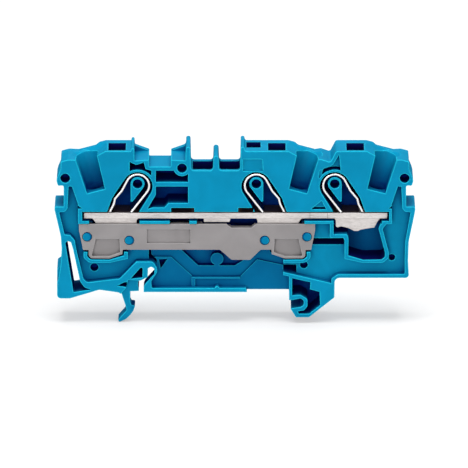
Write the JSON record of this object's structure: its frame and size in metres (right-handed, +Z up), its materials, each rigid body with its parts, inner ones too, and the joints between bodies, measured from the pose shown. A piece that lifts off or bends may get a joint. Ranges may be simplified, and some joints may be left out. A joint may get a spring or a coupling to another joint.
{
  "type": "feed-through terminal block",
  "caption": "Slim rail-mounted feed-through terminal block: spring clamps on a current bar in a blue housing open on one side, with conductor funnels, jumper slots and a rail foot.",
  "frame": {"origin": "middle of the rail, at the level of the rail's top face, halfway through the block's width", "axes": "+X along the block's length towards the end with the rigid claw, +Y along the rail towards the closed rear wall, +Z up away from the rail"},
  "size_m": [0.0733, 0.0074, 0.0378],
  "materials": {
    "housing_plastic": "moulded polyamide, satin blue",
    "bar_metal": "tin-plated copper, matt silver",
    "spring_steel": "bright rolled spring steel",
    "insert_plastic": "moulded polyamide, satin grey"
  },
  "bodies": {
    "root": {"housing": "housing_plastic", "current_bar": "bar_metal", "clamp_spring_left": "spring_steel", "clamp_spring_middle": "spring_steel", "clamp_spring_right": "spring_steel", "conductor_insert": "insert_plastic"}
  },
  "joints": []
}
